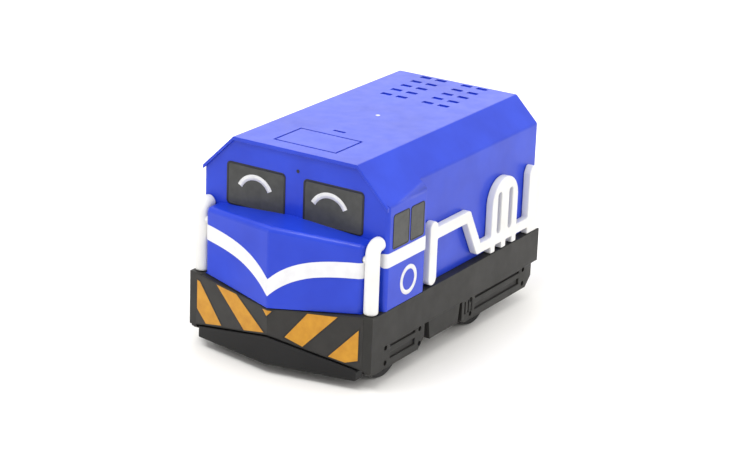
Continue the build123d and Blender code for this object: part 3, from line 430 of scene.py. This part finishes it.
def bar_tree():
    """Tree: a poly curve becomes a bent round bar. Returns the tree and its inputs' identifiers."""
    tree = bpy.data.node_groups.new("bent_bar", "GeometryNodeTree")
    ids = {"Path": group_input(tree, "Path", "NodeSocketGeometry")}
    ids["Bar Radius"] = group_input(tree, "Bar Radius", "NodeSocketFloat", 0.001)
    ids["Bend Radius"] = group_input(tree, "Bend Radius", "NodeSocketFloat", 0.001)
    ids["Finish"] = group_input(tree, "Finish", "NodeSocketMaterial")
    tree.interface.new_socket(name="Bar", in_out="OUTPUT", socket_type="NodeSocketGeometry")
    start, end = tree.nodes.new("NodeGroupInput"), tree.nodes.new("NodeGroupOutput")
    fillet = wire(tree, "GeometryNodeFilletCurve")
    fillet.mode = "POLY"
    fillet.inputs["Count"].default_value = 10
    circle = wire(tree, "GeometryNodeCurvePrimitiveCircle")
    circle.inputs["Resolution"].default_value = 32
    sweep = wire(tree, "GeometryNodeCurveToMesh")
    sweep.inputs["Fill Caps"].default_value = True
    smooth = wire(tree, "GeometryNodeSetShadeSmooth")
    real = wire(tree, "GeometryNodeRealizeInstances")
    paint = wire(tree, "GeometryNodeSetMaterial")
    link = tree.links.new
    link(start.outputs["Path"], fillet.inputs["Curve"])
    link(start.outputs["Bend Radius"], fillet.inputs["Radius"])
    link(start.outputs["Bar Radius"], circle.inputs["Radius"])
    link(fillet.outputs["Curve"], sweep.inputs["Curve"])
    link(circle.outputs["Curve"], sweep.inputs["Profile Curve"])
    link(sweep.outputs["Mesh"], smooth.inputs["Geometry"])
    link(smooth.outputs["Geometry"], real.inputs["Geometry"])
    link(real.outputs["Geometry"], paint.inputs["Geometry"])
    link(start.outputs["Finish"], paint.inputs["Material"])
    link(paint.outputs["Geometry"], end.inputs["Bar"])
    return tree, ids


def path_curve(name, points_mm, closed=False):
    """Poly curve object through points given in millimetres."""
    line = bpy.data.curves.new(name, "CURVE")
    line.dimensions = "3D"
    spline = line.splines.new("POLY")
    spline.points.add(len(points_mm) - 1)
    for point, place in zip(spline.points, points_mm):
        point.co = (*[c * MM for c in place], 1)
    spline.use_cyclic_u = closed
    piece = bpy.data.objects.new(name, line)
    bpy.context.scene.collection.objects.link(piece)
    return piece


def grown(name, path, tree, ids, **values):
    """Run a tree on a path and keep the result as a plain mesh object."""
    modifier = path.modifiers.new("grow", "NODES")
    modifier.node_group = tree
    for key, value in values.items():
        modifier[ids[key]] = value
    bpy.context.view_layer.update()
    mesh = bpy.data.meshes.new_from_object(path.evaluated_get(bpy.context.evaluated_depsgraph_get()))
    mesh.name = name
    bpy.data.objects.remove(path)
    piece = bpy.data.objects.new(name, mesh)
    bpy.context.scene.collection.objects.link(piece)
    return piece


def tidy_normals(piece):
    """Merge doubles and turn every face outwards."""
    form = bmesh.new()
    form.from_mesh(piece.data)
    bmesh.ops.remove_doubles(form, verts=form.verts, dist=1e-7)
    bmesh.ops.recalc_face_normals(form, faces=form.faces)
    form.to_mesh(piece.data)
    form.free()
    return piece


# %% Grow the two grab rails
bar, bar_ids = bar_tree()
POST_R = 1.0
STUB_R = 0.6
STUB_Z = 18.2
for side, node in ((1, "left_front_grab_rail"), (-1, "right_front_grab_rail")):
    low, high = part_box(node)
    post_x = side * (max(abs(low.x), abs(high.x)) / MM - POST_R)
    post_y = low.y / MM + POST_R
    top = high.z / MM - POST_R
    path = path_curve("path", [(post_x, post_y, low.z / MM), (post_x, post_y, top),
                               (post_x, high.y / MM, top)])
    piece = grown(node + "_finished", path, bar, bar_ids, **{
        "Bar Radius": POST_R * MM, "Bend Radius": 1.15 * MM, "Finish": rail_plastic})
    stub_path = path_curve("path", [(post_x, post_y, STUB_Z), (side * (NOSE_SIDE - 0.3), post_y, STUB_Z)])
    stub = grown("stub", stub_path, bar, bar_ids, **{
        "Bar Radius": STUB_R * MM, "Bend Radius": 0.0, "Finish": rail_plastic})
    form = bmesh.new()
    form.from_mesh(piece.data)
    form.from_mesh(stub.data)
    form.to_mesh(piece.data)
    form.free()
    bpy.data.objects.remove(stub)
    tidy_normals(piece)
    foot = piece.modifiers.new("soft_foot", "BEVEL")
    foot.width = 0.3 * MM
    foot.segments = 4
    foot.angle_limit = math.radians(60)
    plain_mesh(piece)
    stand_for(piece, node, "locomotive")
    print(piece.name, len(piece.data.polygons), "faces")


# %% [markdown]
# ## Printed marks
# The marks are pad printed: a film of ink on the plastic. Each is a very thin closed solid that lies on
# its face, so the mark is real geometry. A face is described by where it starts and by its two
# directions, and a mark is drawn flat on it.

# %% Faces to print on, and clipping
def face_map(start, across, up, out):
    """Matrix from (across, up, out) in millimetres on a face to the object, in metres."""
    columns = [Vector(across), Vector(up), Vector(out), Vector(start)]
    table = Matrix.Identity(4)
    for column, vector in enumerate(columns):
        for row in range(3):
            table[row][column] = vector[row] * MM
    return table


def clip(outline, keep):
    """Part of an outline where keep(point) is positive; keep is linear."""
    kept = []
    for here, there in zip(outline, outline[1:] + outline[:1]):
        a, b = keep(here), keep(there)
        if a >= 0:
            kept.append(here)
        if (a > 0 > b) or (a < 0 < b):
            t = a / (a - b)
            kept.append((here[0] + t * (there[0] - here[0]), here[1] + t * (there[1] - here[1])))
    return kept


INK_SUNK = 0.04
FILM_HIGH = 0.03
BORDER_HIGH = 0.045


def film(name, outlines, surface, high, low=-INK_SUNK):
    """Closed thin solids on faces: outlines is a list of (face, points). One object."""
    form = bmesh.new()
    for face, points in outlines:
        if len(points) < 3:
            continue
        top = [form.verts.new(face @ Vector((u, v, high))) for u, v in points]
        under = [form.verts.new(face @ Vector((u, v, low))) for u, v in points]
        form.faces.new(top)
        form.faces.new(under[::-1])
        for i in range(len(points)):
            j = (i + 1) % len(points)
            form.faces.new((top[i], under[i], under[j], top[j]))
    bmesh.ops.recalc_face_normals(form, faces=form.faces)
    mesh = bpy.data.meshes.new(name)
    form.to_mesh(mesh)
    form.free()
    mesh.materials.append(surface)
    piece = bpy.data.objects.new(name, mesh)
    bpy.context.scene.collection.objects.link(piece)
    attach(piece, "locomotive")
    return piece


def rounded_box(left, low, right, high, radius, steps=5):
    """Outline of a rectangle with round corners."""
    points = []
    for cx, cy, start in ((right - radius, high - radius, 0), (left + radius, high - radius, 90),
                          (left + radius, low + radius, 180), (right - radius, low + radius, 270)):
        for step in range(steps + 1):
            angle = math.radians(start + 90 * step / steps)
            points.append((cx + radius * math.cos(angle), cy + radius * math.sin(angle)))
    return points


cab_face = face_map((0, CAB_FRONT, 0), (1, 0, 0), (0, 0, 1), (0, -1, 0))
cab_sides = {
    side: face_map((side * SIDE, CAB_FRONT, 0), (0, 1, 0), (0, 0, 1), (side, 0, 0)) for side in (1, -1)
}
PROW_TIP = CAB_FRONT - 5.8
PROW_SLOPE = 2.8 / 15
prow_faces = {
    side: face_map((0, PROW_TIP, 0), (1, side * PROW_SLOPE, 0), (0, 0, 1), (side * PROW_SLOPE, -1, 0))
    for side in (1, -1)
}
roof_face = face_map((0, CAB_FRONT, ROOF), (1, 0, 0), (0, 1, 0), (0, 0, 1))

# %% [markdown]
# ## Lines of ink
# Window borders, the wiper arcs and the side rings are lines of one width that follow a path, so one
# Geometry Nodes tree draws them all: a flat rectangle swept along a curve.

# %% Node tree for an ink line
def line_tree():
    """Tree: a flat curve becomes a raised line of one width and thickness."""
    tree = bpy.data.node_groups.new("ink_line", "GeometryNodeTree")
    ids = {"Path": group_input(tree, "Path", "NodeSocketGeometry")}
    ids["Line Width"] = group_input(tree, "Line Width", "NodeSocketFloat", 0.0005)
    ids["Ink Thickness"] = group_input(tree, "Ink Thickness", "NodeSocketFloat", 0.0001)
    ids["Ink"] = group_input(tree, "Ink", "NodeSocketMaterial")
    tree.interface.new_socket(name="Line", in_out="OUTPUT", socket_type="NodeSocketGeometry")
    start, end = tree.nodes.new("NodeGroupInput"), tree.nodes.new("NodeGroupOutput")
    upright = wire(tree, "GeometryNodeSetCurveNormal")
    upright.mode = "Z_UP"
    section = wire(tree, "GeometryNodeCurvePrimitiveQuadrilateral")
    sweep = wire(tree, "GeometryNodeCurveToMesh")
    sweep.inputs["Fill Caps"].default_value = True
    real = wire(tree, "GeometryNodeRealizeInstances")
    paint = wire(tree, "GeometryNodeSetMaterial")
    link = tree.links.new
    link(start.outputs["Path"], upright.inputs["Curve"])
    link(start.outputs["Line Width"], section.inputs["Width"])
    link(start.outputs["Ink Thickness"], section.inputs["Height"])
    link(upright.outputs["Curve"], sweep.inputs["Curve"])
    link(section.outputs["Curve"], sweep.inputs["Profile Curve"])
    link(sweep.outputs["Mesh"], real.inputs["Geometry"])
    link(real.outputs["Geometry"], paint.inputs["Geometry"])
    link(start.outputs["Ink"], paint.inputs["Material"])
    link(paint.outputs["Geometry"], end.inputs["Line"])
    return tree, ids


ink_line, ink_ids = line_tree()


def draw_line(name, face, points, width, surface, high, closed=False):
    """Ink line on a face, its top at height high above the plastic."""
    thickness = high + INK_SUNK
    path = path_curve("path", [(u, v, high - thickness / 2) for u, v in points], closed)
    piece = grown(name, path, ink_line, ink_ids, **{
        "Line Width": width * MM, "Ink Thickness": thickness * MM, "Ink": surface})
    piece.data.transform(face @ Matrix.Scale(1 / MM, 4))
    tidy_normals(piece)
    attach(piece, "locomotive")
    return piece


def arc_through(left, peak, right, steps=20):
    """Points of the circle arc through three points."""
    (ax, ay), (bx, by), (cx, cy) = left, peak, right
    d = 2 * (ax * (by - cy) + bx * (cy - ay) + cx * (ay - by))
    ux = ((ax * ax + ay * ay) * (by - cy) + (bx * bx + by * by) * (cy - ay)
          + (cx * cx + cy * cy) * (ay - by)) / d
    uy = ((ax * ax + ay * ay) * (cx - bx) + (bx * bx + by * by) * (ax - cx)
          + (cx * cx + cy * cy) * (bx - ax)) / d
    start, end = math.atan2(ay - uy, ax - ux), math.atan2(cy - uy, cx - ux)
    radius = math.hypot(ax - ux, ay - uy)
    return [(ux + radius * math.cos(start + (end - start) * i / steps),
             uy + radius * math.sin(start + (end - start) * i / steps)) for i in range(steps + 1)]


# %% Windscreens with their arcs
screens = (("right", -11.0, -1.6, -8.9, -6.5, -4.0), ("left", 1.6, 11.0, 3.1, 5.5, 8.2))
for name, left, right, arc_from, arc_top, arc_to in screens:
    outline = rounded_box(left, 20.6, right, 26.5, 0.5)
    film(name + "_windscreen", [(cab_face, outline)], glass_ink, FILM_HIGH)
    draw_line(name + "_windscreen_border", cab_face, outline, 0.3, border_ink, BORDER_HIGH,
              closed=True)
    arc = arc_through((arc_from, 23.5), (arc_top, 25.05), (arc_to, 23.5))
    draw_line(name + "_wiper_arc", cab_face, arc, 0.78, arc_ink, 0.055)
film("brow_dot", [(cab_face, rounded_box(0.25, 27.15, 0.75, 27.65, 0.24))], border_ink,
     FILM_HIGH)
print("windscreens drawn")

# %% Side windows and the plain side rings
RING_Y, RING_Z, RING_R = 5.65, 13.7, 1.8
for side, word in ((1, "left"), (-1, "right")):
    face = cab_sides[side]
    panes = [rounded_box(1.35, 19.2, 5.25, 23.9, 0.35), rounded_box(5.75, 19.2, 9.05, 23.9, 0.35)]
    film(word + "_side_windows", [(face, pane) for pane in panes], glass_ink, FILM_HIGH)
    for number, pane in enumerate(panes, 1):
        draw_line(f"{word}_side_window_border_{number}", face, pane, 0.22, border_ink, BORDER_HIGH,
                  closed=True)
    ring = [(RING_Y + RING_R * math.cos(a * math.pi / 20), RING_Z + RING_R * math.sin(a * math.pi / 20))
            for a in range(40)]
    draw_line(word + "_side_ring", face, ring, 0.62, white_ink, 0.05, closed=True)
MARK_R, MARK_Y = 0.32, 20.5
mark = [(MARK_R * math.cos(a * math.pi / 8), MARK_Y + MARK_R * math.sin(a * math.pi / 8))
        for a in range(16)]
film("roof_mark", [(roof_face, mark)], arc_ink, FILM_HIGH)
print("side windows and rings drawn")


# %% [markdown]
# ## Hazard panel on the prow
# A dark panel with orange stripes wraps round the ridge of the prow, so every outline is cut in two at
# the ridge and each half is laid on its own face.

# %% Hazard panel
def on_prow(outline):
    """Split an outline at the ridge: list of (face, points)."""
    halves = []
    for side in (1, -1):
        part = clip(outline, lambda p: side * p[0])
        if len(part) > 2:
            halves.append((prow_faces[side], part))
    return halves


PANEL_HALF = 13.7
PANEL_LOW = 5.72
panel = []
for side in (1, -1):
    corners = [(0, PANEL_LOW), (PANEL_HALF, PANEL_LOW - PROW_SLOPE * PANEL_HALF),
               (PANEL_HALF, DECK - 0.18), (NOSE_SIDE, DECK - 0.22), (0, NOSE_DIP_Z - 0.2)]
    panel.append((prow_faces[side], [(side * x, z) for x, z in corners]))
film("hazard_panel", panel, panel_ink, FILM_HIGH)

stripes = (
    [(2.6, 5.75), (5.2, 4.85), (10.06, 10.0), (5.8, 9.72)],
    [(8.9, 4.15), (11.3, 3.72), (13.1, 4.3), (13.1, 8.65)],
    [(-9.7, 10.0), (-5.9, 9.72), (-0.6, 5.75), (-4.3, 4.95)],
    [(-13.5, 9.6), (-13.0, 9.5), (-8.7, 4.25), (-11.7, 3.62), (-13.5, 5.4)],
    [(-0.85, 9.12), (0.65, 9.12), (-0.1, 8.3)],
)
film("hazard_stripes", [half for outline in stripes for half in on_prow(outline)], orange_ink, 0.06)


def grow_outline(outline, width):
    """Outline moved outwards by a width."""
    middle = [sum(c) / len(outline) for c in zip(*outline)]
    area = sum(a[0] * b[1] - b[0] * a[1] for a, b in zip(outline, outline[1:] + outline[:1]))
    turn = 1 if area > 0 else -1
    edges = []
    for a, b in zip(outline, outline[1:] + outline[:1]):
        length = math.hypot(b[0] - a[0], b[1] - a[1])
        nx, ny = turn * (b[1] - a[1]) / length, -turn * (b[0] - a[0]) / length
        edges.append((nx, ny, nx * a[0] + ny * a[1] + width))
    points = []
    for (n1, m1, c1), (n2, m2, c2) in zip(edges[-1:] + edges[:-1], edges):
        det = n1 * m2 - n2 * m1
        points.append(((c1 * m2 - c2 * m1) / det, (n1 * c2 - n2 * c1) / det))
    return points


film("hazard_outlines", [half for outline in stripes for half in on_prow(grow_outline(outline, 0.22))],
     outline_ink, BORDER_HIGH)
print("hazard panel drawn")


# %% [markdown]
# ## White band round the nose
# The band dips to a point on the nose's ridge, runs round its corners and carries on along the cab. It
# is a strip whose path is the shell's own plan outline, a film's thickness further out, with its upper
# and lower edge given as heights along the way.

# %% Band helper
def round_path(corners, radii, steps=8):
    """Plan path through corners, each rounded by its radius: list of (x, y)."""
    rows = []
    for i, (x, y) in enumerate(corners):
        if i == 0 or i == len(corners) - 1:
            rows.append((x, y))
            continue
        before, after = Vector(corners[i - 1]), Vector(corners[i + 1])
        here = Vector((x, y))
        a, b = (before - here).normalized(), (after - here).normalized()
        half = a.angle(b) / 2
        reach = radii[i] / math.tan(half)
        centre = here + (a + b).normalized() * radii[i] / math.sin(half)
        start, end = here + a * reach - centre, here + b * reach - centre
        turn = start.angle_signed(end)
        for step in range(steps + 1):
            spoke = Matrix.Rotation(-turn * step / steps, 2) @ start
            rows.append(tuple(centre + spoke))
    dense = []
    for a, b in zip(rows, rows[1:]):
        pieces = max(1, round(math.hypot(b[0] - a[0], b[1] - a[1]) / 0.35))
        for step in range(pieces):
            t = step / pieces
            dense.append((a[0] + t * (b[0] - a[0]), a[1] + t * (b[1] - a[1])))
    dense.append(rows[-1])
    return dense


def band(name, path, edges_at, surface, high=0.035, low=-0.03):
    """Closed strip along a plan path; edges_at(x, along) gives its lower and upper height."""
    form = bmesh.new()
    rings, along = [], 0.0
    for i, (x, y) in enumerate(path):
        px, py = path[max(i - 1, 0)]
        nx, ny = path[min(i + 1, len(path) - 1)]
        along += math.hypot(x - px, y - py)
        length = math.hypot(nx - px, ny - py)
        ox, oy = (ny - py) / length, -(nx - px) / length
        bottom, top = edges_at(x, along)
        ring = []
        for lift, z in ((high, bottom), (high, top), (low, top), (low, bottom)):
            ring.append(form.verts.new(((x + ox * lift) * MM, (y + oy * lift) * MM, z * MM)))
        rings.append(ring)
    for a, b in zip(rings, rings[1:]):
        for k in range(4):
            form.faces.new((a[k], a[(k + 1) % 4], b[(k + 1) % 4], b[k]))
    form.faces.new(rings[0])
    form.faces.new(rings[-1][::-1])
    bmesh.ops.recalc_face_normals(form, faces=form.faces)
    mesh = bpy.data.meshes.new(name)
    form.to_mesh(mesh)
    form.free()
    mesh.materials.append(surface)
    piece = bpy.data.objects.new(name, mesh)
    bpy.context.scene.collection.objects.link(piece)
    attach(piece, "locomotive")
    return piece


def nose_edges(x, along):
    """The band's heights round the nose."""
    top = 13.6 + 4.4 * (1 - math.exp(-abs(x) / 4.2))
    return top - 2.4 + 0.2 * min(1, abs(x) / 6), top


CAB_BAND_Z = 17.8
NOSE_CORNER_Y = CAB_FRONT - 2.5
nose_path = round_path(
    [(-NOSE_SIDE, CAB_FRONT - 0.1), (-NOSE_SIDE, NOSE_CORNER_Y), (0, CAB_FRONT - 5.95),
     (NOSE_SIDE, NOSE_CORNER_Y), (NOSE_SIDE, CAB_FRONT - 0.1)],
    (0, 0.9, 1.2, 0.9, 0))
band("nose_band", nose_path, nose_edges, white_ink)


def cab_edges(x, along):
    """The band's heights on the cab, its start rounded."""
    half = math.sqrt(max(0.02, 1 - (1 - min(1, along)) ** 2))
    return CAB_BAND_Z - half, CAB_BAND_Z + half


for side, word in ((1, "left"), (-1, "right")):
    corners = [(side * 13.5, CAB_FRONT), (side * SIDE, CAB_FRONT), (side * SIDE, CAB_FRONT + 9.72)]
    path = round_path(corners, (0, 0.6, 0))
    band(word + "_cab_band", path, cab_edges, white_ink, high=0.035 * side, low=-0.03 * side)
print("bands drawn")


# %% [markdown]
# ## Roof louvres
# Each recess in the roof has slanted slats. Twenty recesses with two slats each repeat exactly, so they are
# instances on a grid of points, made real at the end.

# %% Node tree for the louvre slats
def slat_tree():
    """Tree: two banks of slatted recesses. Sizes in metres."""
    tree = bpy.data.node_groups.new("roof_louvres", "GeometryNodeTree")
    ids = {}
    for name, value in (("Bank X", 0.0035), ("Column Pitch", 0.0026), ("Row Pitch", 0.00275),
                        ("Slat Length", 0.0016), ("Slat Pitch", 0.0004), ("Middle Y", 0.0),
                        ("Slat Z", 0.03)):
        ids[name] = group_input(tree, name, "NodeSocketFloat", value)
    ids["Rows"] = group_input(tree, "Rows", "NodeSocketInt", 5)
    ids["Finish"] = group_input(tree, "Finish", "NodeSocketMaterial")
    tree.interface.new_socket(name="Slats", in_out="OUTPUT", socket_type="NodeSocketGeometry")
    start, end = tree.nodes.new("NodeGroupInput"), tree.nodes.new("NodeGroupOutput")
    link = tree.links.new

    def joined(x, y, z):
        """Combine XYZ of sockets or numbers."""
        node = wire(tree, "ShaderNodeCombineXYZ")
        for key, value in zip("XYZ", (x, y, z)):
            if isinstance(value, (int, float)):
                node.inputs[key].default_value = value
            else:
                link(value, node.inputs[key])
        return node.outputs["Vector"]

    def product(a, b):
        """Product of two sockets or numbers."""
        node = wire(tree, "ShaderNodeMath", operation="MULTIPLY")
        for socket, value in zip(node.inputs, (a, b)):
            if isinstance(value, (int, float)):
                socket.default_value = value
            else:
                link(value, socket)
        return node.outputs["Value"]

    slat = wire(tree, "GeometryNodeMeshCube")
    link(joined(start.outputs["Slat Length"], 0.00012, 0.00042), slat.inputs["Size"])
    lean = wire(tree, "GeometryNodeTransform")
    lean.inputs["Rotation"].default_value = (math.radians(38), 0, 0)
    link(slat.outputs["Mesh"], lean.inputs["Geometry"])
    pair = wire(tree, "GeometryNodeMeshLine")
    pair.inputs["Count"].default_value = 2
    link(joined(0.0, product(start.outputs["Slat Pitch"], -0.5), 0.0), pair.inputs["Start Location"])
    link(joined(0.0, start.outputs["Slat Pitch"], 0.0), pair.inputs["Offset"])
    two = wire(tree, "GeometryNodeInstanceOnPoints")
    link(pair.outputs["Mesh"], two.inputs["Points"])
    link(lean.outputs["Geometry"], two.inputs["Instance"])
    grid = wire(tree, "GeometryNodeMeshGrid")
    grid.inputs["Vertices X"].default_value = 2
    link(start.outputs["Column Pitch"], grid.inputs["Size X"])
    rows_less = wire(tree, "ShaderNodeMath", operation="SUBTRACT")
    link(start.outputs["Rows"], rows_less.inputs[0])
    rows_less.inputs[1].default_value = 1
    link(product(rows_less.outputs["Value"], start.outputs["Row Pitch"]), grid.inputs["Size Y"])
    link(start.outputs["Rows"], grid.inputs["Vertices Y"])
    bank = wire(tree, "GeometryNodeInstanceOnPoints")
    link(grid.outputs["Mesh"], bank.inputs["Points"])
    link(two.outputs["Instances"], bank.inputs["Instance"])
    both = wire(tree, "GeometryNodeJoinGeometry")
    for sign in (1, -1):
        move = wire(tree, "GeometryNodeTransform")
        link(joined(product(start.outputs["Bank X"], sign), start.outputs["Middle Y"],
                    start.outputs["Slat Z"]), move.inputs["Translation"])
        link(bank.outputs["Instances"], move.inputs["Geometry"])
        link(move.outputs["Geometry"], both.inputs["Geometry"])
    real = wire(tree, "GeometryNodeRealizeInstances")
    paint = wire(tree, "GeometryNodeSetMaterial")
    link(both.outputs["Geometry"], real.inputs["Geometry"])
    link(real.outputs["Geometry"], paint.inputs["Geometry"])
    link(start.outputs["Finish"], paint.inputs["Material"])
    link(paint.outputs["Geometry"], end.inputs["Slats"])
    return tree, ids


# %% Louvre slats
slats, slat_ids = slat_tree()
blank = bpy.data.objects.new("blank", bpy.data.meshes.new("blank"))
bpy.context.scene.collection.objects.link(blank)
louvres = grown("roof_louvre_slats", blank, slats, slat_ids, **{
    "Middle Y": (REAR - 1.3 - 2 * 2.75) * MM, "Slat Z": (ROOF - 0.32) * MM, "Finish": shell_plastic})
tidy_normals(louvres)
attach(louvres, "locomotive")
print("slat faces:", len(louvres.data.polygons))

# %% [markdown]
# ## Finishes for the pieces that stay as CAD solids
# Wheels, tyres, axles, the motor and the screws already have their true shape, so they keep their CAD
# meshes and only get a finish.

# %% Finishes on CAD nodes
finishes = {
    shell_plastic: ["body_shell"],
    chassis_plastic: ["chassis_frame"],
    plow_plastic_painted_shade: ["snow_plow"],
    rail_plastic: ["left_handrail", "right_handrail", "left_front_grab_rail", "right_front_grab_rail"],
    wheel_plastic: ["front_left_wheel", "front_right_wheel", "rear_left_wheel", "rear_right_wheel"],
    tyre_rubber: ["rear_left_tyre", "rear_right_tyre"],
    axle_steel: ["front_axle", "rear_axle", "idler_shaft", "spring_arbor"],
    case_nylon: ["motor_case_left", "motor_case_right"],
    gear_acetal: ["axle_pinion", "idler_gear", "spring_drum"],
    spring_steel: ["mainspring"],
    screw_steel: ["case_screws", "motor_screws", "body_screws", "coupler_pin"],
    coupler_plastic: ["coupler_bar"],
}
for surface, nodes in finishes.items():
    for node in nodes:
        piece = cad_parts[node]
        if not piece.material_slots:
            piece.data.materials.append(surface)
        for place in piece.material_slots:
            place.link = "OBJECT"
            place.material = surface
print("nodes painted:", sum(len(n) for n in finishes.values()))
